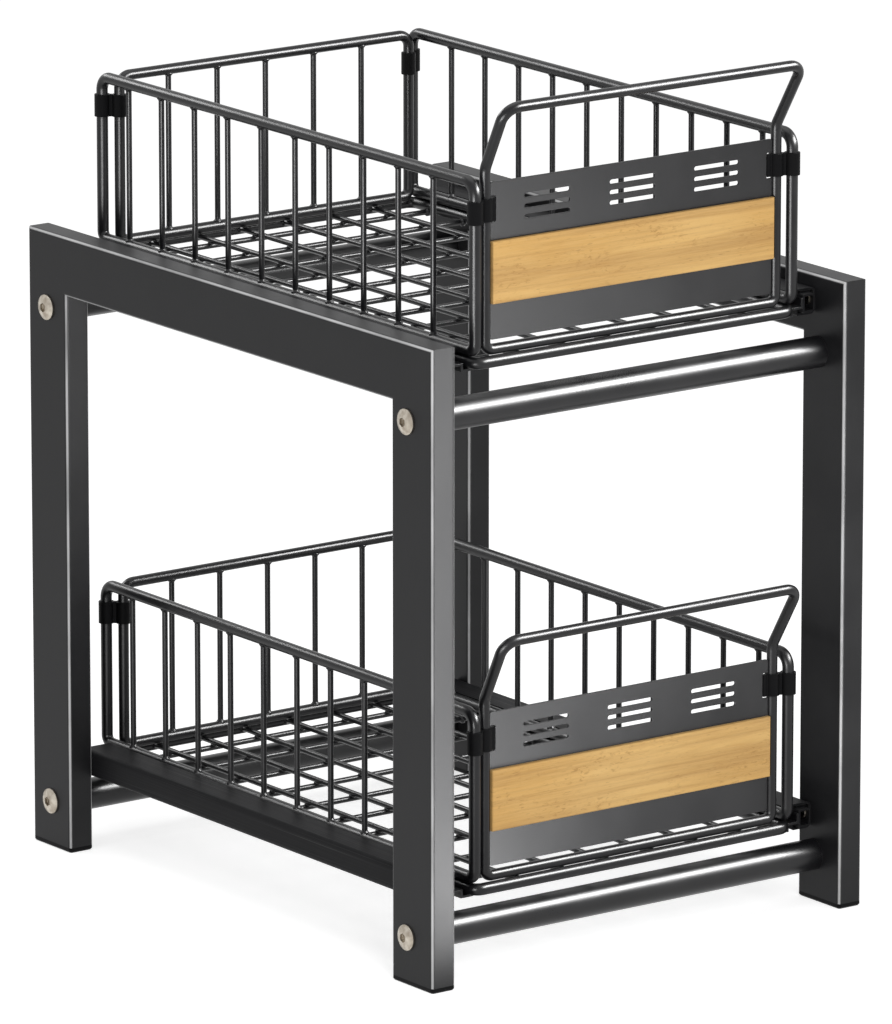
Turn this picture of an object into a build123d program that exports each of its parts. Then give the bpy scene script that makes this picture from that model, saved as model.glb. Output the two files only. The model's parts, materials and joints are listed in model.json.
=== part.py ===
from build123d import *
import math
import os

os.makedirs("parts", exist_ok=True)

# Two-tier pull-out cabinet basket, in millimetres.
# +X is the right side, -Y the front with the handles, +Z up, z = 0 the floor.

# ---- Side frames: rectangular tube legs with mitred top rails ----
frame_width = 308.0
frame_depth = 400.0
frame_height = 372.2
leg_thickness = 16.4
leg_depth = 38.8
rail_height = 35.5
tube_wall = 1.5
tube_corner = 2.2

# ---- Foot caps pressed into the leg tubes ----
foot_height = 3.0
foot_plug_length = 14.0
foot_plug_wall = 2.0
foot_edge = 1.0
press_gap = 0.10

# ---- Round cross bars and the bolts that hold them ----
bar_diameter = 18.5
bar_wall = 1.5
bar_front_inset = 24.3
bar_rear_inset = 19.0
bar_low_z = 28.0
bar_rail_gap = 9.7
insert_length = 20.0
bolt_diameter = 6.0
bolt_reach = 28.0
bolt_head_diameter = 15.0
bolt_head_rim = 1.0
bolt_head_height = 3.2
bolt_socket_flats = 5.0
bolt_socket_depth = 2.2
bolt_gap = 0.10
bolt_hole_gap = 0.30

# ---- Baskets: heavy rods and thin mesh wires ----
base_z_lower = 50.0
base_drop_upper = 16.7
basket_slide_space = 11.6
basket_end_space = 16.7
base_rod = 7.0
base_corner = 6.0
side_rod = 6.8
side_height = 103.4
side_corner = 8.0
side_low_corner = 4.6
loop_rod = 6.3
loop_corner = 7.0
loop_low_corner = 4.6
mesh_wire = 3.4
grid_wire = 3.3
weld_bite = 0.10
grid_lift = 0.55
grid_along_count = 6
grid_across_count = 10
grid_front_gap = 30.9
grid_rear_gap = 18.9
side_wire_count = 10
side_wide_gap = 39.45
side_narrow_gap = 27.45
back_wire_count = 5
rest_gap = 0.10
grid_rest_gap = 0.25

# ---- Front handle loop and back loop ----
front_side_inset = 9.2
front_end_inset = 3.3
front_rest_gap = 0.29
knee_height = 109.6
handle_rise = 38.1
handle_reach = 21.5
handle_flare = 2.0
knee_bend = 9.0
handle_bend = 9.0
back_side_inset = 7.7
back_end_inset = 6.6
back_rise = 0.3

# ---- Front plate and wooden strip ----
plate_thickness = 1.2
plate_rod_gap = 2.35
plate_knee_gap = 7.9
plate_corner = 1.5
plate_side_gap = 0.15
slot_length = 32.0
slot_height = 2.6
slot_rows = 3
slot_groups = 3
slot_row_pitch = 6.05
slot_group_pitch = 59.8
slot_drop = 16.5
notch_depth = 4.0
notch_height = 15.0
notch_corner = 1.2
strip_drop = 33.5
strip_height = 35.8
strip_thickness = 3.0
strip_edge = 0.8
strip_screw_diameter = 2.4
strip_screw_head = 5.6
strip_screw_head_height = 1.6
strip_screw_bite = 2.0
strip_screw_inset = 22.0
strip_screw_gap = 0.10

# ---- Corner clips: two joined sleeves around neighbouring rods ----
clip_drop = 17.0
clip_height = 13.0
clip_wall = 1.1
clip_web = 3.0
clip_tongue = 2.4
clip_tongue_gap = 0.4
clip_gap = 0.08

# ---- Slides: channel on the frame, runner on the basket ----
channel_leg_offset = 7.6
channel_width = 14.0
channel_height = 15.6
channel_wall = 1.2
channel_mouth = 7.6
channel_lip_bend = 1.6
channel_back_bend = 3.2
cover_gap = 1.6
slide_lift = 1.5
pull_length = 270.0
stop_gap = 0.3
stop_length = 6.0
stop_height = 6.0
stop_rise = 2.8
channel_screw_diameter = 4.0
channel_screw_head = 7.0
channel_screw_head_height = 1.3
channel_screw_bite = 5.0
channel_screw_inset = 6.0
runner_height = 11.0
runner_depth = 7.2
runner_wall = 1.2
runner_gap = 0.3
runner_bend = 1.0
glide_length = 14.0
glide_tongue = 10.0
glide_gap = 0.05
glide_edge = 1.0
shoe_length = 16.0
shoe_width = 7.0
shoe_inset = 1.6

# ---- Brackets that carry the base rod on the runner ----
bracket_thickness = 1.4
bracket_length = 20.0
bracket_bay_count = 8
bracket_tab_top = 4.4
bracket_shelf_drop = 0.6
bracket_drop_gap = 0.8
bracket_lip = 2.5
rivet_diameter = 2.4
rivet_head = 4.4
rivet_head_height = 1.2
rivet_level = 2.5
rivet_reach = 1.6
rivet_gap = 0.05

# ---- Places worked out from the sizes above ----
half_width = frame_width / 2
half_depth = frame_depth / 2
inner_face = half_width - leg_thickness
leg_centre_x = half_width - leg_thickness / 2
leg_centre_y = half_depth - leg_depth / 2
channel_half_length = leg_centre_y - channel_leg_offset
bar_high_z = frame_height - rail_height - bar_rail_gap
bar_front_y = -half_depth + bar_front_inset
bar_rear_y = half_depth - bar_rear_inset
bar_places = [
    ("front_lower_crossbar", bar_front_y, bar_low_z),
    ("rear_lower_crossbar", bar_rear_y, bar_low_z),
    ("front_upper_crossbar", bar_front_y, bar_high_z),
    ("rear_upper_crossbar", bar_rear_y, bar_high_z),
]
base_z_upper = frame_height - base_drop_upper
base_half_width = inner_face - channel_width - basket_slide_space
base_half_depth = half_depth - basket_end_space
front_half_width = base_half_width - front_side_inset
front_y = front_end_inset - base_half_depth
front_low = math.sqrt(((base_rod + loop_rod) / 2 + front_rest_gap) ** 2 - front_end_inset ** 2)
back_half_width = base_half_width - back_side_inset
back_y = base_half_depth - back_end_inset
back_height = side_height + back_rise
front_overhang = (loop_rod / 2 + handle_reach - front_y) - half_depth
origin_shift = front_overhang / 2
plate_width = 2 * (front_half_width - loop_rod / 2 - plate_side_gap)
plate_low = front_low + loop_rod / 2 + plate_rod_gap
plate_high = knee_height - plate_knee_gap
slot_level = plate_high - slot_drop
strip_high = plate_high - strip_drop
strip_low = strip_high - strip_height
clip_level = side_height - clip_drop
glide_front = channel_half_length - channel_wall - stop_gap - glide_length
channel_inner_x = inner_face - channel_width
runner_inner_x = channel_inner_x + channel_wall + runner_gap
channel_bore = channel_height - 2 * channel_wall
screw_y = channel_half_length - channel_screw_inset
sides = (("left", -1), ("right", 1))
tiers = (("lower", base_z_lower), ("upper", base_z_upper))


def save(shape, name):
    """Write one node, moved so that the overall box is centred on the origin."""
    export_step(Pos(0, origin_shift, 0) * shape, "parts/" + name + ".step")


def spaced(count, pitch):
    """Centred positions of a row of equal steps."""
    return [(i - (count - 1) / 2) * pitch for i in range(count)]


def between(first, last, count):
    """Even positions from the first to the last."""
    return [first + (last - first) * i / (count - 1) for i in range(count)]


def inside(half_span, count):
    """Even positions that divide a centred span into equal bays."""
    return spaced(count, 2 * half_span / (count + 1))


def rod_between(start, end, diameter):
    """Straight round rod from point to point."""
    line = Line(start, end)
    return sweep(Plane(origin=line @ 0, z_dir=line % 0) * Circle(diameter / 2), path=line)


def bent_rod(points, bends, diameter):
    """Round rod along straight runs, with a tangent arc at each inner point."""
    points = [Vector(*p) for p in points]
    edges = []
    start = points[0]
    for before, corner, after, radius in zip(points, points[1:], points[2:], bends):
        back = (before - corner).normalized()
        ahead = (after - corner).normalized()
        half_angle = math.radians(back.get_angle(ahead)) / 2
        reach = radius / math.tan(half_angle)
        middle = (back + ahead).normalized() * (radius / math.sin(half_angle) - radius)
        arc_start = corner + back * reach
        arc_end = corner + ahead * reach
        edges.append(Line(start, arc_start))
        edges.append(ThreePointArc(arc_start, corner + middle, arc_end))
        start = arc_end
    edges.append(Line(start, points[-1]))
    path = Wire([e.edge() for e in edges])
    return sweep(Plane(origin=path @ 0, z_dir=path % 0) * Circle(diameter / 2), path=path)


def closed_rod(points, bends, diameter, mirror_plane):
    """Closed loop made of a bent half and its mirror image."""
    half = bent_rod(points, bends, diameter)
    return half + mirror(half, about=mirror_plane)


def tube_section(width, depth):
    """Hollow rectangular section with rounded corners."""
    outer = RectangleRounded(width, depth, tube_corner)
    inner = RectangleRounded(width - 2 * tube_wall, depth - 2 * tube_wall, tube_corner - tube_wall)
    return outer - inner


def mitre_block(end, keep_leg):
    """Solid on one side of the diagonal joint between a leg and the top rail."""
    outer_y = end * half_depth
    inner_y = end * (half_depth - leg_depth)
    low_z = frame_height - rail_height
    slope = rail_height / leg_depth
    beyond = 10.0
    outer = (outer_y + end * beyond, frame_height + beyond * slope)
    inner = (inner_y - end * beyond, low_z - beyond * slope)
    if keep_leg:
        spare = (outer_y + end * beyond, -beyond)
        corner = (inner_y - end * beyond, -beyond)
        outline = Polyline(outer, inner, corner, spare, close=True)
    else:
        outline = Polyline(outer, inner, (0, inner[1]), (0, outer[1]), close=True)
    return extrude(Plane.YZ * make_face(outline), amount=frame_width, both=True)


def x_cylinder(x, y, z, diameter, length):
    """Cylinder along X, centred on the given point."""
    return Pos(x, y, z) * Rot(0, 90, 0) * Cylinder(diameter / 2, length)


def make_leg(side, end):
    """One leg tube, mitred at the top and drilled for its bolts and slide screw."""
    x = side * leg_centre_x
    height = frame_height - foot_height
    leg = extrude(Pos(x, end * leg_centre_y, foot_height) * tube_section(leg_thickness, leg_depth), height)
    leg = leg & mitre_block(end, True)
    bar_y = bar_front_y if end < 0 else bar_rear_y
    for bar_z in (bar_low_z, bar_high_z):
        leg -= x_cylinder(x, bar_y, bar_z, bolt_diameter + 2 * bolt_hole_gap, 2 * leg_thickness)
    screw_z = base_z_lower + slide_lift
    leg -= x_cylinder(side * inner_face, end * screw_y, screw_z, channel_screw_diameter + 2 * bolt_gap,
                      leg_thickness)
    return leg


def make_top_rail(side):
    """Top rail tube, mitred at both ends and drilled for the upper slide screws."""
    section = Plane.XZ.offset(-half_depth) * Pos(side * leg_centre_x, frame_height - rail_height / 2)
    rail = extrude(section * tube_section(leg_thickness, rail_height), frame_depth)
    rail = (rail & mitre_block(-1, False)) + (rail & mitre_block(1, False))
    for end in (-1, 1):
        rail -= x_cylinder(side * inner_face, end * screw_y, base_z_upper + slide_lift,
                           channel_screw_diameter + 2 * bolt_gap, leg_thickness)
    return rail


def make_foot_caps():
    """Four plastic caps, each a flat sole with a hollow plug inside the leg."""
    plug_width = leg_thickness - 2 * tube_wall - 2 * press_gap
    plug_depth = leg_depth - 2 * tube_wall - 2 * press_gap
    sole = extrude(RectangleRounded(leg_thickness, leg_depth, tube_corner), foot_height)
    sole = chamfer(sole.faces().sort_by(Axis.Z)[0].edges(), foot_edge)
    plug = RectangleRounded(plug_width, plug_depth, tube_corner - tube_wall)
    plug -= Rectangle(plug_width - 2 * foot_plug_wall, plug_depth - 2 * foot_plug_wall)
    cap = sole + extrude(Pos(0, 0, foot_height) * plug, foot_plug_length)
    places = [(sx * leg_centre_x, sy * leg_centre_y) for sx in (-1, 1) for sy in (-1, 1)]
    return Compound([Pos(x, y, 0) * cap.solid() for x, y in places])


def make_crossbar(y, z):
    """Round tube between the two side frames."""
    tube = x_cylinder(0, y, z, bar_diameter, 2 * inner_face)
    return tube - x_cylinder(0, y, z, bar_diameter - 2 * bar_wall, 2 * inner_face)


def make_inserts():
    """Threaded plugs pressed into both ends of the cross bars."""
    diameter = bar_diameter - 2 * bar_wall - 2 * press_gap
    solids = []
    for name, y, z in bar_places:
        for _, side in sides:
            x = side * (inner_face - insert_length / 2)
            plug = x_cylinder(x, y, z, diameter, insert_length)
            plug -= x_cylinder(x, y, z, bolt_diameter + 2 * bolt_gap, insert_length)
            solids.append(plug.solid())
    return Compound(solids)


def make_bolt():
    """Button-head bolt along Z, its head seated on z = 0 and its shank below."""
    radius = bolt_head_diameter / 2
    dome_base = (radius, bolt_head_rim)
    dome_top = (0, bolt_head_height)
    profile = Polyline(dome_top, (0, 0), (radius, 0), dome_base)
    rise = bolt_head_height - bolt_head_rim
    sphere = (radius ** 2 + rise ** 2) / (2 * rise)
    dome_middle = (radius / 2, bolt_head_height - sphere + math.sqrt(sphere ** 2 - radius ** 2 / 4))
    dome = ThreePointArc(dome_base, dome_middle, dome_top)
    head = revolve(Plane.XZ * make_face(profile.edges() + dome.edges()), Axis.Z)
    socket = RegularPolygon(bolt_socket_flats / 2, 6, major_radius=False)
    head -= extrude(Pos(0, 0, bolt_head_height - bolt_socket_depth) * socket, bolt_head_height)
    shank = Pos(0, 0, -bolt_reach / 2) * Cylinder(bolt_diameter / 2, bolt_reach)
    return head + shank


def make_frame_bolts(side):
    """The four bolts of one side frame."""
    turned = Rot(0, side * 90, 0) * make_bolt()
    return Compound([(Pos(side * half_width, y, z) * turned).solid() for _, y, z in bar_places])


def cross_wire_places():
    """Y places of the floor's cross wires."""
    return between(grid_front_gap - base_half_depth, base_half_depth - grid_rear_gap, grid_across_count)


def make_base_grid(base_z):
    """Basket floor: heavy outer rod with two welded layers of thin wires."""
    w = base_half_width
    d = base_half_depth
    half = [(0, -d, base_z), (w, -d, base_z), (w, d, base_z), (0, d, base_z)]
    grid = closed_rod(half, [base_corner] * 2, base_rod, Plane.YZ)
    high = base_z + grid_lift
    low = high - grid_wire + weld_bite
    for x in inside(w, grid_along_count):
        grid += rod_between((x, -d, high), (x, d, high), grid_wire)
    for y in cross_wire_places():
        grid += rod_between((-w, y, low), (w, y, low), grid_wire)
    return grid


def make_side_panel(side, base_z):
    """Closed side loop standing on the base rod, with thin upright wires."""
    x = side * base_half_width
    d = base_half_depth
    low = base_z + base_rod / 2 + rest_gap + side_rod / 2
    top = base_z + side_height
    half = [(x, 0, low), (x, d, low), (x, d, top), (x, 0, top)]
    panel = closed_rod(half, [side_low_corner, side_corner], side_rod, Plane.XZ)
    for place in between(side_wide_gap - d, d - side_narrow_gap, side_wire_count):
        y = -side * place
        panel += rod_between((x, y, low), (x, y, top), mesh_wire)
    return panel


def make_back_panel(base_z):
    """Closed back loop resting on the floor wires, with thin upright wires."""
    w = back_half_width
    low = base_z + grid_lift + grid_wire / 2 + grid_rest_gap + loop_rod / 2
    top = base_z + back_height
    half = [(0, back_y, low), (w, back_y, low), (w, back_y, top), (0, back_y, top)]
    panel = closed_rod(half, [loop_low_corner, loop_corner], loop_rod, Plane.YZ)
    for x in inside(w, back_wire_count):
        panel += rod_between((x, back_y, low), (x, back_y, top), mesh_wire)
    return panel


def make_handle_loop(base_z):
    """Closed front loop: upright posts that lean forward into the handle bar."""
    w = front_half_width
    top_w = w + handle_flare
    low = base_z + front_low
    knee = base_z + knee_height
    top = knee + handle_rise
    top_y = front_y - handle_reach
    half = [(0, front_y, low), (w, front_y, low), (w, front_y, knee), (top_w, top_y, top), (0, top_y, top)]
    return closed_rod(half, [loop_low_corner, knee_bend, handle_bend], loop_rod, Plane.YZ)


def make_front_plate(base_z):
    """Thin front sheet with three groups of slots and a notch for each clip."""
    height = plate_high - plate_low
    middle = (plate_high + plate_low) / 2
    face = RectangleRounded(plate_width, height, plate_corner)
    slot = SlotOverall(slot_length, slot_height)
    for x in spaced(slot_groups, slot_group_pitch):
        for z in spaced(slot_rows, slot_row_pitch):
            face -= Pos(x, slot_level - middle + z) * slot
    notch = RectangleRounded(2 * notch_depth, notch_height, notch_corner)
    for side in (-1, 1):
        face -= Pos(side * plate_width / 2, clip_level - middle) * notch
    for x, z in strip_screw_places():
        face -= Pos(x, z - middle) * Circle(strip_screw_diameter / 2 + strip_screw_gap)
    plane = Plane.XZ.offset(-front_y)
    return extrude(plane * Pos(0, base_z + middle) * face, plate_thickness / 2, both=True)


def strip_screw_places():
    """Screw centres of the wooden strip, as (x, height above the base rod)."""
    z = (strip_low + strip_high) / 2
    return [(side * (plate_width / 2 - strip_screw_inset), z) for side in (-1, 1)]


def make_wood_strip(base_z):
    """Wooden strip on the front of the plate, with blind pilot holes at the back."""
    back = front_y - plate_thickness / 2
    strip = Pos(0, back - strip_thickness / 2, base_z + (strip_low + strip_high) / 2)
    strip = strip * Box(plate_width, strip_thickness, strip_height)
    strip = fillet(strip.faces().sort_by(Axis.Y)[0].edges(), strip_edge)
    for x, z in strip_screw_places():
        hole = Cylinder(strip_screw_diameter / 2 + strip_screw_gap, 2 * strip_screw_bite)
        strip -= Pos(x, back, base_z + z) * Rot(90, 0, 0) * hole
    return strip


def make_strip_screws(base_z):
    """Pan-head screws from behind the plate into the wooden strip."""
    seat = front_y + plate_thickness / 2
    reach = plate_thickness + strip_screw_bite - strip_screw_gap
    solids = []
    for x, z in strip_screw_places():
        head = Pos(0, 0, -strip_screw_head_height / 2)
        head = head * Cylinder(strip_screw_head / 2, strip_screw_head_height)
        head = fillet(head.faces().sort_by(Axis.Z)[0].edges(), strip_screw_head_height * 0.6)
        screw = head + Pos(0, 0, reach / 2) * Cylinder(strip_screw_diameter / 2, reach)
        solids.append((Pos(x, seat, base_z + z) * Rot(90, 0, 0) * screw).solid())
    return Compound(solids)


def make_corner_clips(base_z):
    """Four double sleeves that tie each side post to the neighbouring loop post."""
    posts = [
        (front_half_width, front_y, -base_half_depth, True),
        (back_half_width, back_y, base_half_depth, False),
    ]
    tongue_x = plate_width / 2 - notch_depth + clip_tongue_gap
    solids = []
    for _, side in sides:
        for loop_x, loop_y, side_y, beside_plate in posts:
            first = Vector(side * base_half_width, side_y, 0)
            second = Vector(side * loop_x, loop_y, 0)
            first_bore = side_rod / 2 + clip_gap
            second_bore = loop_rod / 2 + clip_gap
            link = second - first
            angle = math.degrees(math.atan2(link.Y, link.X))
            web = Pos((first + second) / 2) * Rot(0, 0, angle) * Rectangle(link.length, clip_web)
            outline = Pos(first) * Circle(first_bore + clip_wall)
            outline += Pos(second) * Circle(second_bore + clip_wall)
            outline += web
            if beside_plate:
                tongue = Pos(side * (tongue_x + loop_x) / 2, loop_y)
                outline += tongue * Rectangle(loop_x - tongue_x, clip_tongue)
            outline -= Pos(first) * Circle(first_bore)
            outline -= Pos(second) * Circle(second_bore)
            low = Pos(0, 0, base_z + clip_level - clip_height / 2)
            solids.append(extrude(low * outline, clip_height).solid())
    return Compound(solids)


def lay_along_y(section, start_y, end_y):
    """Extrude a section drawn in X and Z from one Y to another."""
    return extrude(Plane.XZ.offset(-start_y) * section, start_y - end_y)


def channel_outline(inset):
    """Outline of the channel, drawn in by an even inset, with softer bends at its back."""
    outline = Rectangle(channel_width - 2 * inset, channel_height - 2 * inset)
    lips = outline.vertices().sort_by(Axis.X)[:2]
    outline = fillet(lips, channel_lip_bend - inset)
    back = outline.vertices().sort_by(Axis.X)[-2:]
    return fillet(back, channel_back_bend - inset)


def make_channel(side, base_z):
    """Slide channel: a lipped C facing the basket, its top drawn in as a cover, with travel stops."""
    z = base_z + slide_lift
    x = inner_face - channel_width / 2
    outer = channel_outline(0)
    bore = channel_outline(channel_wall)
    mouth = Pos(-channel_width / 2) * Rectangle(4 * channel_wall, channel_mouth)
    cover_x = base_half_width + base_rod / 2 + cover_gap
    cover_width = channel_inner_x + channel_lip_bend - cover_x
    cover = Pos(cover_x + cover_width / 2 - x, (channel_height - channel_wall) / 2)
    cover = cover * Rectangle(cover_width, channel_wall)
    length = channel_half_length
    channel = lay_along_y(Pos(x, z) * (outer - bore - mouth + cover), -length, length)
    web_x = inner_face - channel_wall
    stop_x = web_x - stop_rise / 2
    stop_y = glide_front - pull_length - stop_gap - stop_length / 2
    channel += Pos(stop_x, stop_y, z) * Box(stop_rise, stop_length, stop_height)
    end_depth = channel_width - 4 * channel_wall
    end_y = length - channel_wall / 2
    channel += Pos(web_x - end_depth / 2, end_y, z) * Box(end_depth, channel_wall, channel_bore)
    for end in (-1, 1):
        channel -= x_cylinder(inner_face, end * screw_y, z, channel_screw_diameter + 2 * bolt_gap,
                              3 * channel_wall)
    return channel if side > 0 else mirror(channel, about=Plane.YZ)


def make_channel_screws(base_z):
    """Pan-head screws that hold both channels of one tier to the side frames."""
    solids = []
    reach = channel_wall + channel_screw_bite
    for _, side in sides:
        for end in (-1, 1):
            seat = inner_face - channel_wall
            shank = x_cylinder(side * (seat + reach / 2), 0, 0, channel_screw_diameter, reach)
            head_x = side * (seat - channel_screw_head_height / 2)
            head = x_cylinder(head_x, 0, 0, channel_screw_head, channel_screw_head_height)
            screw = Pos(0, end * screw_y, base_z + slide_lift) * (head + shank)
            solids.append(screw.solid())
    return Compound(solids)


def make_channel_shoes(base_z):
    """Plastic shoes above and below the runner at the front of each channel."""
    solids = []
    thickness = (channel_bore - runner_height) / 2 - 2 * glide_gap
    level = runner_height / 2 + glide_gap + thickness / 2
    x = runner_inner_x + shoe_inset + shoe_width / 2
    y = -channel_half_length + shoe_length / 2
    for _, side in sides:
        for up in (-1, 1):
            shoe = Box(shoe_width, shoe_length, thickness)
            place = Pos(side * x, y, base_z + slide_lift + up * level)
            solids.append((place * shoe).solid())
    return Compound(solids)


def make_runner(side, base_z):
    """Basket runner: a plain C that slides inside the channel."""
    z = base_z + slide_lift
    x = runner_inner_x + runner_depth / 2
    outer = RectangleRounded(runner_depth, runner_height, runner_bend)
    hollow = Pos(runner_wall) * Rectangle(runner_depth, runner_height - 2 * runner_wall)
    square = Pos(runner_depth / 4) * Rectangle(runner_depth / 2, runner_height)
    section = (outer + square) - hollow
    runner_front = bracket_centres()[0] - bracket_length / 2
    runner = lay_along_y(Pos(x, z) * section, runner_front, glide_front)
    for y in bracket_centres():
        runner -= x_cylinder(runner_inner_x, y, base_z + rivet_level,
                             rivet_diameter + 2 * rivet_gap, 4 * runner_wall)
    return runner if side > 0 else mirror(runner, about=Plane.YZ)


def make_runner_glides(base_z):
    """Plastic blocks at the rear end of both runners, each with a tongue."""
    z = base_z + slide_lift
    head_x = runner_inner_x
    head_end = inner_face - channel_wall - channel_screw_head_height - runner_gap
    width = head_end - head_x
    height = channel_bore - 2 * glide_gap
    block = Box(width, glide_length, height, align=(Align.MIN, Align.MIN, Align.CENTER))
    block = chamfer(block.edges().filter_by(Axis.Z).sort_by(Axis.Y)[-2:], glide_edge)
    glide = Pos(head_x, glide_front, z) * block
    tongue_height = runner_height - 2 * runner_wall - 2 * glide_gap
    tongue_width = runner_depth - runner_wall - glide_gap
    tongue = Box(tongue_width, glide_tongue, tongue_height, align=(Align.MIN, Align.MAX, Align.CENTER))
    glide += Pos(head_x + runner_wall + glide_gap, glide_front, z) * tongue
    return Compound([glide.solid(), mirror(glide, about=Plane.YZ).solid()])


def bracket_centres():
    """Y places of the two brackets of each runner, each between two cross wires."""
    wires = cross_wire_places()
    front = (wires[0] - base_half_depth) / 2
    rear = (wires[bracket_bay_count - 1] + wires[bracket_bay_count]) / 2
    return (front, rear)


def make_brackets(side, base_z):
    """Two bent strips that carry the base rod and are riveted to the runner."""
    t = bracket_thickness
    tab_x = runner_inner_x - t / 2
    drop_x = base_half_width + base_rod / 2 + bracket_drop_gap + t / 2
    saddle_z = -base_rod / 2 - rivet_gap - t / 2
    lip_x = base_half_width - bracket_lip
    points = [
        (tab_x, bracket_tab_top),
        (tab_x, -bracket_shelf_drop),
        (drop_x, -bracket_shelf_drop),
        (drop_x, saddle_z),
        (lip_x, saddle_z),
    ]
    strip = make_face(offset(Polyline(*points), amount=t / 2, kind=Kind.INTERSECTION).edges())
    solids = []
    for y in bracket_centres():
        bracket = lay_along_y(Pos(0, base_z) * strip, y - bracket_length / 2, y + bracket_length / 2)
        bracket -= x_cylinder(tab_x, y, base_z + rivet_level, rivet_diameter + 2 * rivet_gap, 4 * t)
        if side < 0:
            bracket = mirror(bracket, about=Plane.YZ)
        solids.append(bracket.solid())
    return Compound(solids)


def make_rivets(base_z):
    """Rivets through the brackets and the runners of one basket."""
    solids = []
    seat = runner_inner_x - bracket_thickness
    reach = bracket_thickness + runner_wall + rivet_reach
    for _, side in sides:
        for y in bracket_centres():
            shank = x_cylinder(side * (seat + reach / 2), 0, 0, rivet_diameter, reach)
            head_x = side * (seat - rivet_head_height / 2)
            head = x_cylinder(head_x, 0, 0, rivet_head, rivet_head_height)
            solids.append((Pos(0, y, base_z + rivet_level) * (head + shank)).solid())
    return Compound(solids)


def build_frame():
    """Side frames, cross bars, bolts, feet and slide channels."""
    for side_name, side in sides:
        save(make_leg(side, -1), side_name + "_front_leg")
        save(make_leg(side, 1), side_name + "_rear_leg")
        save(make_top_rail(side), side_name + "_top_rail")
        save(make_frame_bolts(side), side_name + "_frame_bolts")
    save(make_foot_caps(), "foot_caps")
    save(make_inserts(), "crossbar_inserts")
    for name, y, z in bar_places:
        save(make_crossbar(y, z), name)
    for tier, base_z in tiers:
        for side_name, side in sides:
            save(make_channel(side, base_z), tier + "_" + side_name + "_channel")
        save(make_channel_screws(base_z), tier + "_channel_screws")
        save(make_channel_shoes(base_z), tier + "_channel_shoes")


def build_basket(tier, base_z):
    """Every piece that rides with one basket."""
    save(make_base_grid(base_z), tier + "_base_grid")
    save(make_back_panel(base_z), tier + "_back_panel")
    save(make_handle_loop(base_z), tier + "_handle_loop")
    save(make_front_plate(base_z), tier + "_front_plate")
    save(make_wood_strip(base_z), tier + "_wood_strip")
    save(make_strip_screws(base_z), tier + "_strip_screws")
    save(make_corner_clips(base_z), tier + "_corner_clips")
    save(make_runner_glides(base_z), tier + "_runner_glides")
    save(make_rivets(base_z), tier + "_bracket_rivets")
    for side_name, side in sides:
        save(make_side_panel(side, base_z), tier + "_" + side_name + "_side_panel")
        save(make_runner(side, base_z), tier + "_" + side_name + "_runner")
        save(make_brackets(side, base_z), tier + "_" + side_name + "_brackets")


build_frame()
for tier_name, tier_base_z in tiers:
    build_basket(tier_name, tier_base_z)
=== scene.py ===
import json
import math

import bmesh
import bpy
from mathutils import Matrix, Vector

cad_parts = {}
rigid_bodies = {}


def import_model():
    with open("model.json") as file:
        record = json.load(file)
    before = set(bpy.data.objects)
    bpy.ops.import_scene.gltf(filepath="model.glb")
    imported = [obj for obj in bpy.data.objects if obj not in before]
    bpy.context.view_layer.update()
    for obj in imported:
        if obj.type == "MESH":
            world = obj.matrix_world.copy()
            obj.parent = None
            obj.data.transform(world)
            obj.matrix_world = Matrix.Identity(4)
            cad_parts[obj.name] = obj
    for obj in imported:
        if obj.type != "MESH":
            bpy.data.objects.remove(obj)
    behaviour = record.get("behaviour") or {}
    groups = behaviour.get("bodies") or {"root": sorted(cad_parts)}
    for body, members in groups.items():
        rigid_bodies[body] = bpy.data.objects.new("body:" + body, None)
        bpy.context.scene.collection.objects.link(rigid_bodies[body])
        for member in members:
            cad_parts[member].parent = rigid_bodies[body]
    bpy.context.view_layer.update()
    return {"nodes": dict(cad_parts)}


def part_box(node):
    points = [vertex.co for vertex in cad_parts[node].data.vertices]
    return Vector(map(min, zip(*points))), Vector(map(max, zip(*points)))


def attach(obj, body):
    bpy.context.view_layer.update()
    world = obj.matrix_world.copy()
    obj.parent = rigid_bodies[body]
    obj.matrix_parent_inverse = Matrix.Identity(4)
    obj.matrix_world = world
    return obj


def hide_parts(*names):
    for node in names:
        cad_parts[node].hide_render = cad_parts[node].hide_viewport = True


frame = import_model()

# Two-tier pull-out cabinet basket, in metres, in the frame of the CAD model.
# +X is the right side, -Y the front with the handles, +Z up, z = 0 the floor.

tiers = ("lower", "upper")

# ---- Wires and rods, as the solids have them ----
base_rod = 0.0070
side_rod = 0.0068
loop_rod = 0.0063
mesh_wire = 0.0034
grid_wire = 0.0033
grid_lift = 0.00055
grid_along_count = 6
grid_across_count = 10
grid_front_gap = 0.0309
grid_rear_gap = 0.0189
side_wire_count = 10
side_wide_gap = 0.03945
side_narrow_gap = 0.02745
back_wire_count = 5

# ---- Weld collars and beads ----
collar_flare = 0.0009
collar_length = 0.0013
collar_neck = 0.98  # of the wire's radius, where the collar starts
collar_curve = ((0.12, 0.75), (0.40, 0.35), (1.0, 0.0))  # of the flare and of the length
collar_sink = 0.20  # of the rod's diameter, how far the collar runs on inside it
collar_seat = 0.48  # of the rod's diameter, from its centre to an upright's collar
bead_radius = 0.0023
bead_half_height = 0.0011
bead_rings = 6
round_steps = 12

# ---- Screws of the wooden strip, seen from behind ----
screw_head_radius = 0.0028
screw_head_height = 0.0016
screw_head_power = 2.6  # of the dome's outline, where 2 is an ellipse
screw_rim = 0.0005
screw_shank_radius = 0.0012
recess_reach = 0.0016
recess_half_width = 0.00042
recess_depth = 0.0009
recess_wall = 0.35  # of the half width, over which its walls slope
recess_taper = 2.2  # how steeply its floor falls from the ends of the cross
screw_rings = 14
screw_spokes = 48
merge_distance = 0.000001

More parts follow.
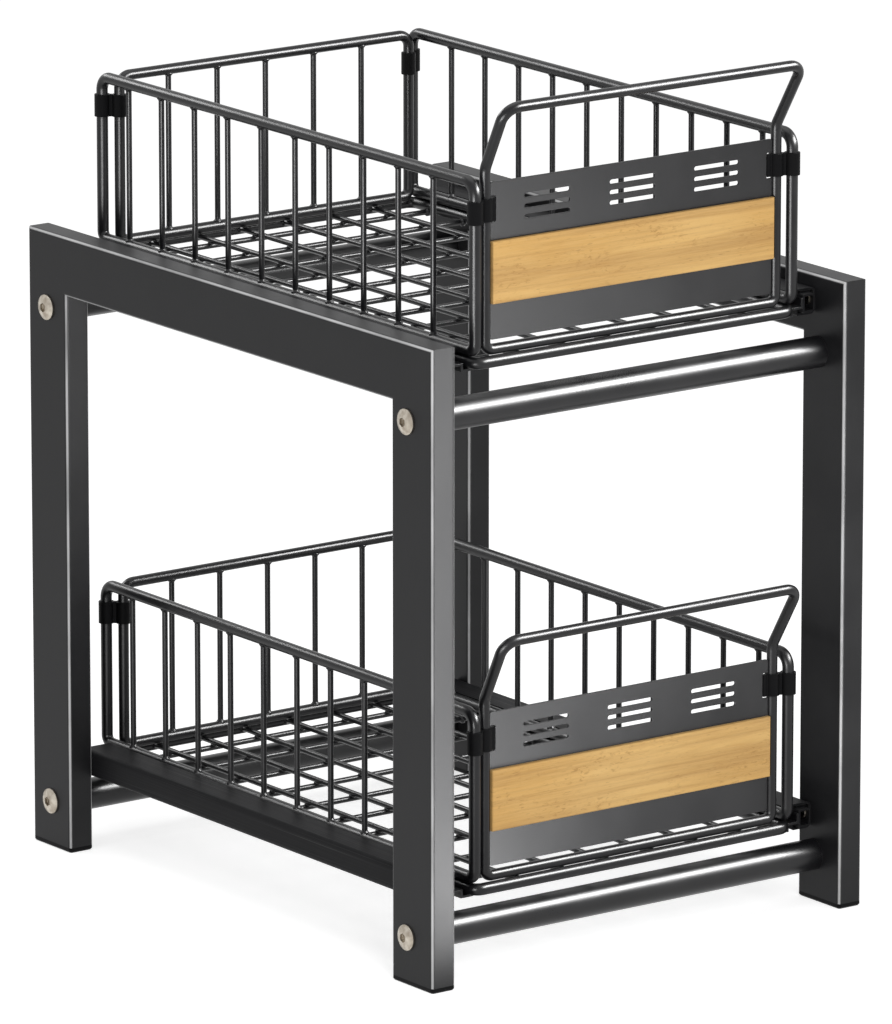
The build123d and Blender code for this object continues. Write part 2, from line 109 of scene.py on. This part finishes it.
# ---- Colours, as linear red, green and blue ----
tube_black = (0.008, 0.008, 0.009)
tube_grey = (0.013, 0.013, 0.014)
# Painted highlight: pale colour on the frame tubes' arrises that stands in for their bright edge lines.
painted_arris_highlight = (0.62, 0.62, 0.625)
wire_black = (0.005, 0.005, 0.006)
wire_grey = (0.009, 0.009, 0.010)
plate_black = (0.010, 0.010, 0.011)
plate_grey = (0.015, 0.015, 0.016)
bar_black = (0.006, 0.006, 0.007)
bar_grey = (0.010, 0.010, 0.011)
coat_worn = (0.085, 0.085, 0.088)
slide_black = (0.007, 0.007, 0.008)
slide_grey = (0.012, 0.012, 0.013)
slide_rubbed = (0.07, 0.07, 0.07)
plastic_black = (0.0035, 0.0035, 0.004)
plastic_grey = (0.007, 0.007, 0.0075)
plastic_rubbed = (0.030, 0.030, 0.031)
zinc_clean = (0.52, 0.475, 0.405)
zinc_dull = (0.33, 0.285, 0.23)
zinc_bright = (0.70, 0.67, 0.62)
bamboo_pale = (0.80, 0.515, 0.200)
bamboo_warm = (0.69, 0.405, 0.132)
bamboo_streak = (0.46, 0.25, 0.085)
bamboo_band = (0.42, 0.22, 0.075)
bamboo_fibre = (0.82, 0.58, 0.27)
bamboo_pore = (0.20, 0.10, 0.035)
bamboo_fleck = (0.42, 0.225, 0.075)
bamboo_edge = (0.82, 0.66, 0.43)

# ---- Surfaces ----
noise_low = 0.3
noise_high = 0.7
grain_gloss = 0.03
bevel_samples = 6
edge_start = 0.995
edge_full = 0.90
arris_start = 0.95
arris_full = 0.82
peel_strength = 0.16
peel_height = 0.00012
grain_strength = 0.12
grain_height = 0.00003

# ---- Light and view ----
open_light = 0.50
background = 1.0
floor_albedo = 0.75
floor_glow = 0.66
floor_size = 14.0
camera_place = Vector((-3.4842, -4.7504, 1.6812))
camera_turn = math.radians(-36.2635)
camera_tilt = math.radians(13.9502)
camera_lens = 367.3
camera_reach = 60.0


# ---------------------------------------------------------------- node helpers

def start_material(name, **constants):
    """A new material; the constants go on the sockets of its Principled shader."""
    material = bpy.data.materials.new(name)
    material.use_nodes = True
    shader = material.node_tree.nodes["Principled BSDF"]
    for socket, value in constants.items():
        shader.inputs[socket.replace("_", " ")].default_value = value
    return material


def add(material, kind, inputs, **settings):
    """A node whose inputs are linked where a socket is given, and set otherwise."""
    tree = material.node_tree
    made = tree.nodes.new(kind)
    for name, value in settings.items():
        setattr(made, name, value)
    for name, value in inputs.items():
        if isinstance(value, bpy.types.NodeSocket):
            tree.links.new(value, made.inputs[name])
        else:
            made.inputs[name].default_value = value
    return made


def finish_material(material, colour, roughness, normal):
    """Link the worked-out colour, roughness and normal to the shader."""
    tree = material.node_tree
    shader = tree.nodes["Principled BSDF"]
    tree.links.new(colour, shader.inputs["Base Color"])
    tree.links.new(roughness, shader.inputs["Roughness"])
    tree.links.new(normal, shader.inputs["Normal"])
    return material


def coordinates(material, stretch=(1, 1, 1)):
    """Coordinates of the solid itself, stretched along its axes."""
    source = add(material, "ShaderNodeTexCoord", {})
    inputs = {"Vector": source.outputs["Object"], "Scale": stretch}
    return add(material, "ShaderNodeMapping", inputs).outputs["Vector"]


def noise(material, vector, scale, detail=3.0, roughness=0.5, distortion=0.0):
    """Noise between 0 and 1; the scale counts features in a metre."""
    inputs = {"Vector": vector, "Scale": scale, "Detail": detail, "Roughness": roughness,
              "Distortion": distortion}
    return add(material, "ShaderNodeTexNoise", inputs).outputs["Fac"]


def grain_noise(material, scales, detail=3.0, roughness=0.5, distortion=0.0):
    """Noise with its own count of features in a metre along each axis."""
    return noise(material, coordinates(material, scales), 1.0, detail, roughness, distortion)


def remap(material, value, low, high, to_low, to_high):
    """Map one range of values onto another, held at both ends."""
    inputs = {"Value": value, "From Min": low, "From Max": high, "To Min": to_low, "To Max": to_high}
    return add(material, "ShaderNodeMapRange", inputs).outputs["Result"]


def mask(material, value, start, full, top=1.0):
    """0 up to the start value, rising to the top at the full value."""
    return remap(material, value, start, full, 0.0, top)


def spread(material, value, to_low, to_high):
    """Map the usual range of a noise onto another range."""
    return remap(material, value, noise_low, noise_high, to_low, to_high)


def calculate(material, operation, first, second):
    """One step of arithmetic."""
    made = add(material, "ShaderNodeMath", {0: first, 1: second}, operation=operation)
    return made.outputs["Value"]


def blend_colours(material, factor, first, second):
    """Mix two colours, each given as a socket or as red, green and blue."""
    made = material.node_tree.nodes.new("ShaderNodeMix")
    made.data_type = "RGBA"
    for socket, value in ((made.inputs[0], factor), (made.inputs[6], first), (made.inputs[7], second)):
        if isinstance(value, bpy.types.NodeSocket):
            material.node_tree.links.new(value, socket)
        elif isinstance(value, tuple):
            socket.default_value = (*value, 1)
        else:
            socket.default_value = value
    return made.outputs[2]


def true_normal(material):
    """Normal of the surface as it is shaped."""
    return add(material, "ShaderNodeNewGeometry", {}).outputs["Normal"]


def rounded_normal(material, radius):
    """Normal that rounds the corners of a solid in shading."""
    return add(material, "ShaderNodeBevel", {"Radius": radius}, samples=bevel_samples).outputs["Normal"]


def edge_mask(material, normal):
    """Near 1 where the rounded normal leaves the true one, at corners and arrises."""
    inputs = {0: normal, 1: true_normal(material)}
    dot = add(material, "ShaderNodeVectorMath", inputs, operation="DOT_PRODUCT").outputs["Value"]
    return mask(material, dot, edge_start, edge_full)


def arris_mask(material, normal):
    """Near 1 where a square tube's surface turns from one flat face to the next."""
    parts = add(material, "ShaderNodeSeparateXYZ", {"Vector": normal})
    largest = calculate(material, "ABSOLUTE", parts.outputs["X"], 0.0)
    for axis in ("Y", "Z"):
        size = calculate(material, "ABSOLUTE", parts.outputs[axis], 0.0)
        largest = calculate(material, "MAXIMUM", largest, size)
    return mask(material, largest, arris_start, arris_full)


def bump(material, height, strength, distance, normal):
    """Raise a surface by a height between 0 and 1."""
    inputs = {"Height": height, "Strength": strength, "Distance": distance, "Normal": normal}
    return add(material, "ShaderNodeBump", inputs).outputs["Normal"]


def seen_by_eye(holder):
    """1 for camera, glossy and transmission rays."""
    path = add(holder, "ShaderNodeLightPath", {})
    seen = calculate(holder, "MAXIMUM", path.outputs["Is Camera Ray"], path.outputs["Is Glossy Ray"])
    return calculate(holder, "MAXIMUM", seen, path.outputs["Is Transmission Ray"])


# ------------------------------------------------------------------- materials

def coat_noises(material):
    """Broad clouds, orange peel and fine grain of a powder coat."""
    vector = coordinates(material)
    cloud = noise(material, vector, scale=22.0, detail=4.0)
    peel = noise(material, vector, scale=620.0, detail=2.0)
    grain = noise(material, vector, scale=2600.0, detail=2.0)
    return cloud, peel, grain


def finish_coat(material, noises, normal, colours, edge_share, gloss, texture=1.0):
    """Uneven black from dark to light, an edge colour, and faint orange peel; the edge colour is worn
    paint on wires, bars and plates, and a painted highlight on the frame tubes' arrises.
    """
    cloud, peel, grain = noises
    dark, light, edge_mark = colours
    colour = blend_colours(material, mask(material, cloud, 0.35, 0.65), dark, light)
    # Edge colour: a painted highlight on the frame tubes, worn paint elsewhere.
    colour = blend_colours(material, edge_share, colour, edge_mark)
    uneven = spread(material, grain, -grain_gloss, grain_gloss)
    rough = calculate(material, "ADD", spread(material, cloud, *gloss), uneven)
    normal = bump(material, peel, peel_strength * texture, peel_height, normal)
    normal = bump(material, grain, grain_strength * texture, grain_height, normal)
    return finish_material(material, colour, rough, normal)


def tube_coat():
    """Black powder coat of the side frames, with a painted highlight in pale colour along the rounded
    arrises.
    """
    material = start_material("frame_paint", Specular_IOR_Level=0.18)
    noises = coat_noises(material)
    normal = true_normal(material)
    # Painted highlight along the arrises, broken into patches by the cloud.
    patches = remap(material, noises[0], 0.30, 0.62, 0.55, 1.0)
    edge_share = calculate(material, "MULTIPLY", arris_mask(material, normal), patches)
    colours = (tube_black, tube_grey, painted_arris_highlight)
    return finish_coat(material, noises, normal, colours, edge_share, gloss=(0.37, 0.44))


def powder_coat(name, dark, light, gloss, specular, edge_radius, texture=1.0):
    """Black powder coat of wires, bars and plates, with thinner paint on their edges."""
    material = start_material(name, Specular_IOR_Level=specular)
    noises = coat_noises(material)
    normal = rounded_normal(material, edge_radius)
    specks = remap(material, noises[2], 0.42, 0.68, 0.15, 0.8)
    edge_share = calculate(material, "MULTIPLY", edge_mask(material, normal), specks)
    colours = (dark, light, coat_worn)
    return finish_coat(material, noises, normal, colours, edge_share, gloss, texture)


def wire_coat():
    """Smooth coat of the baskets' wires and rods."""
    return powder_coat("wire_coat", wire_black, wire_grey, gloss=(0.27, 0.36), specular=0.27,
                       edge_radius=0.0003, texture=0.25)


def plate_coat():
    """Duller coat of the front plates, with its full texture."""
    return powder_coat("plate_paint", plate_black, plate_grey, gloss=(0.38, 0.47), specular=0.18,
                       edge_radius=0.0004)


def bar_coat():
    """Shinier coat of the round cross bars."""
    return powder_coat("bar_paint", bar_black, bar_grey, gloss=(0.27, 0.36), specular=0.34,
                       edge_radius=0.0004, texture=0.25)


def bamboo():
    """Pale bamboo ply: long fibres along X, warm streaks, dark pores and groups of flecks."""
    material = start_material("bamboo", Specular_IOR_Level=0.12)
    normal = rounded_normal(material, radius=0.0005)
    warm = grain_noise(material, (9.0, 1.0, 14.0), detail=2.0)
    streaks = grain_noise(material, (5.0, 1.0, 90.0), detail=5.0, roughness=0.6, distortion=0.6)
    bands = grain_noise(material, (9.0, 40.0, 330.0), detail=4.0, roughness=0.55, distortion=0.35)
    fibres = grain_noise(material, (60.0, 900.0, 2600.0), roughness=0.6)
    pores = grain_noise(material, (140.0, 900.0, 1900.0), detail=2.0)
    flecks = grain_noise(material, (230.0, 1.0, 640.0), roughness=0.6, distortion=0.5)
    groups = grain_noise(material, (26.0, 1.0, 70.0), detail=2.0)
    flecked = calculate(material, "MULTIPLY", mask(material, flecks, 0.54, 0.68),
                        remap(material, groups, 0.46, 0.62, 0.12, 1.0))
    layers = (
        (mask(material, streaks, 0.42, 0.66, top=0.55), bamboo_streak),
        (mask(material, bands, 0.45, 0.72, top=0.55), bamboo_band),
        (mask(material, fibres, 0.35, 0.75, top=0.30), bamboo_fibre),
        (mask(material, pores, 0.66, 0.74, top=0.45), bamboo_pore),
        (calculate(material, "MULTIPLY", flecked, 0.60), bamboo_fleck),
        (calculate(material, "MULTIPLY", edge_mask(material, normal), 0.45), bamboo_edge),
    )
    colour = blend_colours(material, mask(material, warm, 0.35, 0.65), bamboo_pale, bamboo_warm)
    for factor, layer in layers:
        colour = blend_colours(material, factor, colour, layer)
    rough = spread(material, bands, 0.40, 0.55)
    normal = bump(material, fibres, strength=0.25, distance=0.00006, normal=normal)
    normal = bump(material, pores, strength=-0.20, distance=0.00008, normal=normal)
    return finish_material(material, colour, rough, normal)


def zinc_steel():
    """Warm zinc plate on the bolts and screws: tarnish, fine scratches and bright edges."""
    material = start_material("bolt_steel", Metallic=1.0)
    normal = rounded_normal(material, radius=0.0003)
    tarnish = noise(material, coordinates(material), scale=260.0, detail=4.0)
    scratches = grain_noise(material, (300.0, 4200.0, 900.0), detail=2.0)
    bright = calculate(material, "MULTIPLY", edge_mask(material, normal), 0.4)
    colour = blend_colours(material, mask(material, tarnish, 0.35, 0.65), zinc_clean, zinc_dull)
    colour = blend_colours(material, bright, colour, zinc_bright)
    rough = spread(material, tarnish, 0.26, 0.44)
    normal = bump(material, scratches, strength=0.12, distance=0.00003, normal=normal)
    return finish_material(material, colour, rough, normal)


def black_plastic():
    """Moulded black plastic: fine spark texture, greyer where it is rubbed."""
    material = start_material("black_plastic", Specular_IOR_Level=0.08)
    vector = coordinates(material)
    normal = rounded_normal(material, radius=0.0004)
    spark = noise(material, vector, scale=1900.0)
    cloud = noise(material, vector, scale=70.0)
    edge_mark = calculate(material, "MULTIPLY", edge_mask(material, normal), 0.5)
    colour = blend_colours(material, cloud, plastic_black, plastic_grey)
    colour = blend_colours(material, edge_mark, colour, plastic_rubbed)
    rough = spread(material, spark, 0.42, 0.60)
    normal = bump(material, spark, strength=0.30, distance=0.00005, normal=normal)
    return finish_material(material, colour, rough, normal)


def slide_paint():
    """Painted slide steel, with fine bright rub lines along its travel."""
    material = start_material("slide_paint", Specular_IOR_Level=0.10)
    vector = coordinates(material)
    normal = rounded_normal(material, radius=0.0003)
    cloud = noise(material, vector, scale=40.0)
    grain = noise(material, vector, scale=2400.0, detail=2.0)
    lines = grain_noise(material, (2600.0, 6.0, 2600.0))
    edge_mark = calculate(material, "MULTIPLY", edge_mask(material, normal), 0.5)
    colour = blend_colours(material, cloud, slide_black, slide_grey)
    colour = blend_colours(material, mask(material, lines, 0.62, 0.72, top=0.5), colour, slide_rubbed)
    colour = blend_colours(material, edge_mark, colour, slide_rubbed)
    rough = spread(material, lines, 0.62, 0.50)
    normal = bump(material, grain, strength=0.15, distance=0.00003, normal=normal)
    return finish_material(material, colour, rough, normal)


def floor_material():
    """White floor that keeps the shadow; the camera and reflections see it near white."""
    material = bpy.data.materials.new("floor_white")
    material.use_nodes = True
    material.node_tree.nodes.clear()
    albedo = (floor_albedo, floor_albedo, floor_albedo, 1)
    diffuse = add(material, "ShaderNodeBsdfDiffuse", {"Color": albedo})
    strength = calculate(material, "MULTIPLY", seen_by_eye(material), floor_glow)
    glow = add(material, "ShaderNodeEmission", {"Strength": strength})
    both = add(material, "ShaderNodeAddShader", {0: diffuse.outputs[0], 1: glow.outputs[0]})
    add(material, "ShaderNodeOutputMaterial", {"Surface": both.outputs[0]})
    return material


def paint_of(slot):
    """Name of a slot's material, without the number that keeps names apart."""
    return slot.material.name.split(".")[0]


# ------------------------------------------------------------------- mesh tools

def join_rings(mesh, rings):
    """Faces between each ring of corners and the next."""
    for ring, following in zip(rings, rings[1:]):
        for step in range(len(ring)):
            after = (step + 1) % len(ring)
            mesh.faces.new((ring[step], ring[after], following[after], following[step]))


def turned(mesh, profile, centre, axis):
    """Turn a profile of (radius, distance along the axis) round an axis through the centre."""
    spin = Vector((0, 0, 1)).rotation_difference(Vector(axis)).to_matrix()
    rings = []
    for radius, along in profile:
        ring = []
        for step in range(round_steps):
            angle = 2 * math.pi * step / round_steps
            point = Vector((radius * math.cos(angle), radius * math.sin(angle), along))
            ring.append(mesh.verts.new(Vector(centre) + spin @ point))
        rings.append(ring)
    join_rings(mesh, rings)
    mesh.faces.new(list(reversed(rings[0])))
    mesh.faces.new(rings[-1])


def new_piece(name, mesh, material, body):
    """Turn a finished bmesh into a smooth-shaded piece that rides on a body."""
    data = bpy.data.meshes.new(name)
    bmesh.ops.recalc_face_normals(mesh, faces=mesh.faces)
    mesh.to_mesh(data)
    mesh.free()
    for face in data.polygons:
        face.use_smooth = True
    data.materials.append(material)
    piece = bpy.data.objects.new(name, data)
    bpy.context.scene.collection.objects.link(piece)
    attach(piece, body)
    return piece


def between(first, last, count):
    """Even positions from the first to the last."""
    return [first + (last - first) * i / (count - 1) for i in range(count)]


def inside_bays(first, last, count):
    """Even positions that divide a span into equal bays."""
    bay = (last - first) / (count + 1)
    return [first + (i + 1) * bay for i in range(count)]


# ----------------------------------------------------------------------- welds

def base_level(tier):
    """Height of the centre of a basket's outer rod."""
    low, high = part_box(tier + "_base_grid")
    return high.z - base_rod / 2


def rod_lines(node, rod):
    """Lowest and highest corners of a wire panel, taken at the centres of its rods."""
    low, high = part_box(node)
    inset = Vector((rod, rod, rod)) / 2
    return low + inset, high - inset


def weld_collar(mesh, centre, axis, wire, rod):
    """Small concave fillet where a thin wire runs into a heavy rod."""
    radius = wire / 2
    profile = [(radius * collar_neck, -collar_length)]
    for out, back in collar_curve:
        profile.append((radius + collar_flare * out, -collar_length * back))
    profile.append((radius + collar_flare, rod * collar_sink))
    turned(mesh, profile, centre, axis)


def weld_bead(mesh, centre):
    """Flattened drop of metal at a crossing of two thin wires."""
    profile = []
    for step in range(1, bead_rings):
        angle = math.pi * step / bead_rings
        profile.append((bead_radius * math.sin(angle), -bead_half_height * math.cos(angle)))
    turned(mesh, profile, centre, (0, 0, 1))


def grid_welds(tier):
    """Beads at the crossings of the floor grid and collars at its outer rod."""
    mesh = bmesh.new()
    along_level = base_level(tier) + grid_lift
    across_level = along_level - grid_wire
    low, high = rod_lines(tier + "_right_side_panel", side_rod)
    half_width = (low.x + high.x) / 2
    columns = inside_bays(-half_width, half_width, grid_along_count)
    for y in between(low.y + grid_front_gap, high.y - grid_rear_gap, grid_across_count):
        for x in columns:
            weld_bead(mesh, (x, y, along_level - grid_wire / 2))
        for side in (-1, 1):
            wall = side * (half_width - base_rod / 2)
            weld_collar(mesh, (wall, y, across_level), (side, 0, 0), grid_wire, base_rod)
    for x in columns:
        for end, wall in ((-1, low.y + base_rod / 2), (1, high.y - base_rod / 2)):
            weld_collar(mesh, (x, wall, along_level), (0, end, 0), grid_wire, base_rod)
    return mesh


def upright_welds(places, low, high, rod):
    """Collars at both ends of a row of uprights, between the heights of two rods' centres."""
    mesh = bmesh.new()
    for x, y in places:
        weld_collar(mesh, (x, y, high - rod * collar_seat), (0, 0, 1), mesh_wire, rod)
        weld_collar(mesh, (x, y, low + rod * collar_seat), (0, 0, -1), mesh_wire, rod)
    return mesh


def side_welds(tier, side_name):
    """Collars of a side panel: its wide bay is in front on the left side, behind on the right."""
    low, high = rod_lines(tier + "_" + side_name + "_side_panel", side_rod)
    if side_name == "left":
        row = between(low.y + side_wide_gap, high.y - side_narrow_gap, side_wire_count)
    else:
        row = between(high.y - side_wide_gap, low.y + side_narrow_gap, side_wire_count)
    x = (low.x + high.x) / 2
    return upright_welds([(x, y) for y in row], low.z, high.z, side_rod)


def back_welds(tier):
    """Collars of the back panel."""
    low, high = rod_lines(tier + "_back_panel", loop_rod)
    y = (low.y + high.y) / 2
    row = inside_bays(low.x, high.x, back_wire_count)
    return upright_welds([(x, y) for x in row], low.z, high.z, loop_rod)


def add_welds(tier, paint):
    """All welds of one basket."""
    body = tier + "_basket"
    new_piece(tier + "_grid_welds", grid_welds(tier), paint, body)
    for side_name in ("left", "right"):
        mesh = side_welds(tier, side_name)
        new_piece(tier + "_" + side_name + "_side_welds", mesh, paint, body)
    new_piece(tier + "_back_welds", back_welds(tier), paint, body)


# ---------------------------------------------------------------------- screws

def screw_face(radius, angle):
    """Height of a pan head above its seat, less its cross recess."""
    share = radius / screw_head_radius
    dome = math.sqrt(max(0.0, 1 - share ** screw_head_power))
    height = screw_rim + (screw_head_height - screw_rim) * dome
    x = abs(radius * math.cos(angle))
    y = abs(radius * math.sin(angle))
    across = min(x, y)
    along = max(x, y)
    if along < recess_reach:
        wall = max(0.0, min(1.0, (recess_half_width - across) / (recess_half_width * recess_wall) + 0.5))
        floor = max(0.0, 1 - along / recess_reach)
        height -= recess_depth * wall * min(1.0, floor * recess_taper)
    return height


def cross_screw(mesh, centre, length):
    """Pan-head screw with a cross recess, its head towards +Y and its shank towards -Y."""
    angles = [2 * math.pi * spoke / screw_spokes for spoke in range(screw_spokes)]
    outline = []
    for step in range(screw_rings + 1):
        radius = screw_head_radius * step / screw_rings
        outline.append((radius, [screw_face(radius, angle) for angle in angles]))
    outline.append((screw_head_radius, [0.0] * screw_spokes))
    outline.append((screw_shank_radius, [0.0] * screw_spokes))
    outline.append((screw_shank_radius, [-length] * screw_spokes))
    rings = []
    for radius, heights in outline:
        ring = []
        for angle, height in zip(angles, heights):
            point = Vector((radius * math.cos(angle), height, radius * math.sin(angle)))
            ring.append(mesh.verts.new(Vector(centre) + point))
        rings.append(ring)
    join_rings(mesh, rings)
    mesh.faces.new(rings[-1])


def add_strip_screws(tier, steel):
    """Cross-recess screws in place of the plain ones behind the wooden strip."""
    node = tier + "_strip_screws"
    low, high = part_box(node)
    seat = high.y - screw_head_height
    mesh = bmesh.new()
    for x in (low.x + screw_head_radius, high.x - screw_head_radius):
        cross_screw(mesh, (x, seat, (low.z + high.z) / 2), seat - low.y)
    bmesh.ops.remove_doubles(mesh, verts=mesh.verts, dist=merge_distance)
    piece = new_piece(tier + "_cross_screws", mesh, steel, tier + "_basket")
    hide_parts(node)


# ------------------------------------------------------------- stage and camera

def make_floor():
    """Plain white floor under the object."""
    bpy.ops.mesh.primitive_plane_add(size=floor_size)
    floor = bpy.context.object
    floor.name = "floor"
    floor.data.materials.append(floor_material())


def make_world():
    """Even light on the object, with white behind it and in its reflections."""
    world = bpy.data.worlds.new("studio")
    world.use_nodes = True
    bpy.context.scene.world = world
    shader = world.node_tree.nodes["Background"]
    strength = remap(world, seen_by_eye(world), 0.0, 1.0, open_light, background)
    world.node_tree.links.new(strength, shader.inputs["Strength"])
    shader.inputs["Color"].default_value = (1, 1, 1, 1)


def painted_pieces(name, paints):
    """Collection of the pieces whose first slot carries one of the paints."""
    group = bpy.data.collections.new(name)
    for piece in bpy.context.scene.objects:
        if piece.type == "MESH" and paint_of(piece.material_slots[0]) in paints:
            group.objects.link(piece)
    return group


def soft_box(name, place, aim, size, brightness, glossy=True):
    """Rectangular light that faces a point; its brightness is that of its surface."""
    width, height = size
    lamp = bpy.data.lights.new(name, "AREA")
    lamp.shape = "RECTANGLE"
    lamp.size = width
    lamp.size_y = height
    lamp.energy = brightness * math.pi * width * height
    holder = bpy.data.objects.new(name, lamp)
    holder.location = place
    holder.rotation_euler = (Vector(aim) - Vector(place)).to_track_quat("-Z", "Y").to_euler()
    holder.visible_camera = False
    holder.visible_glossy = glossy
    bpy.context.scene.collection.objects.link(holder)
    return holder


def card(name, pieces, place, aim, size, brightness):
    """Soft box that shows only as a highlight, and only on some of the pieces."""
    holder = soft_box(name, place, aim, size, brightness)
    holder.visible_diffuse = False
    holder.light_linking.receiver_collection = pieces


def make_lights():
    """A soft key and a box overhead, and cards that only show as highlights."""
    soft_box("key_box", place=(-0.45, -1.25, 0.65), aim=(0.0, -0.15, 0.22), size=(0.60, 0.60),
             brightness=6.7, glossy=False)
    soft_box("top_box", place=(-0.10, 0.10, 1.50), aim=(0.0, 0.0, 0.2), size=(1.10, 1.10),
             brightness=1.6)
    flats = painted_pieces("flats", ("frame_paint", "plate_paint"))
    card("front_card", flats, place=(0.10, -0.70, 0.19), aim=(-0.05, -0.2, 0.20), size=(0.28, 0.35),
         brightness=23.0)
    card("floor_card", flats, place=(-0.02, -0.43, 0.004), aim=(-0.03, -0.41, 1.0), size=(0.18, 0.36),
         brightness=26.0)
    rounds = painted_pieces("rounds", ("wire_coat", "bar_paint"))
    card("left_card", rounds, place=(-0.88, -0.58, 0.18), aim=(-0.15, -0.1, 0.18), size=(0.50, 0.36),
         brightness=24.0)
    card("right_card", rounds, place=(0.62, -0.88, 0.94), aim=(0.0, -0.18, 0.30), size=(0.95, 0.42),
         brightness=66.0)
    card("rear_card", rounds, place=(-0.40, 1.15, 1.00), aim=(-0.1, 0.0, 0.35), size=(0.60, 0.30),
         brightness=14.0)


def make_camera():
    """The photograph's long lens, high at the front left."""
    camera = bpy.data.objects.new("camera", bpy.data.cameras.new("camera"))
    camera.data.lens = camera_lens
    camera.data.clip_end = camera_reach
    right = Vector((math.cos(camera_turn), math.sin(camera_turn), 0))
    back = Vector((math.sin(camera_turn) * math.cos(camera_tilt),
                   -math.cos(camera_turn) * math.cos(camera_tilt), math.sin(camera_tilt)))
    rotation = Matrix((right, back.cross(right), back)).transposed()
    camera.matrix_world = Matrix.Translation(camera_place) @ rotation.to_4x4()
    bpy.context.scene.collection.objects.link(camera)
    bpy.context.scene.camera = camera


# ----------------------------------------------------------------------- build

materials = {
    "frame_paint": tube_coat(),
    "wire_coat": wire_coat(),
    "plate_paint": plate_coat(),
    "slide_paint": slide_paint(),
    "bamboo": bamboo(),
    "bolt_steel": zinc_steel(),
    "black_plastic": black_plastic(),
}
bar_paint = bar_coat()
for name, solid in frame["nodes"].items():
    for slot in solid.material_slots:
        if name.endswith("crossbar"):
            slot.material = bar_paint
        else:
            slot.material = materials[paint_of(slot)]
for tier in tiers:
    add_welds(tier, materials["wire_coat"])
    add_strip_screws(tier, materials["bolt_steel"])
make_floor()
make_world()
make_lights()
make_camera()
bpy.context.scene.view_settings.view_transform = "Standard"
